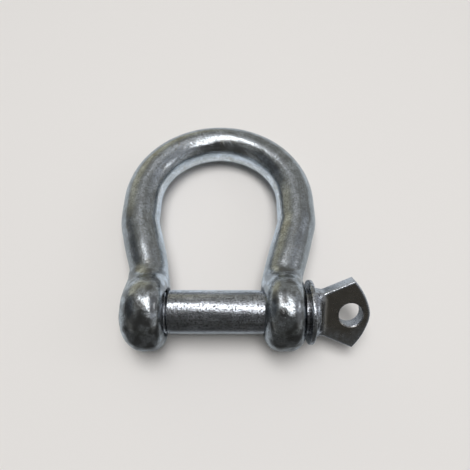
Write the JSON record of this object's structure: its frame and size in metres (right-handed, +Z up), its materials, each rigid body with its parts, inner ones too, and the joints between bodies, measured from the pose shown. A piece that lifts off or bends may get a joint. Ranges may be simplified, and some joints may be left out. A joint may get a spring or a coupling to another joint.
{
  "type": "bow shackle",
  "caption": "Bow shackle with a screw pin: a round forged bow with two eyes, closed by a collared pin that unscrews by its pierced tab.",
  "frame": {"origin": "on the pin's axis, halfway between the two eyes' inner faces", "axes": "+X along the pin from the threaded end to the tab, +Y from the pin to the bow's crown, +Z up with the shackle lying on its side"},
  "size_m": [0.0604, 0.0653, 0.0178],
  "materials": {
    "bow_zinc": "bright electro-zinc plating over a forged, slightly mottled steel surface",
    "pin_zinc": "bright electro-zinc plating over turned and forged steel"
  },
  "bodies": {
    "bow": {"bow": "bow_zinc"},
    "screw_pin": {"screw_pin": "pin_zinc"}
  },
  "joints": [
    {"name": "pin_slide", "type": "slide", "parent": "bow", "child": "screw_pin", "axis": [1, 0, 0], "range_m": [-0.00058, 0.043]}
  ]
}
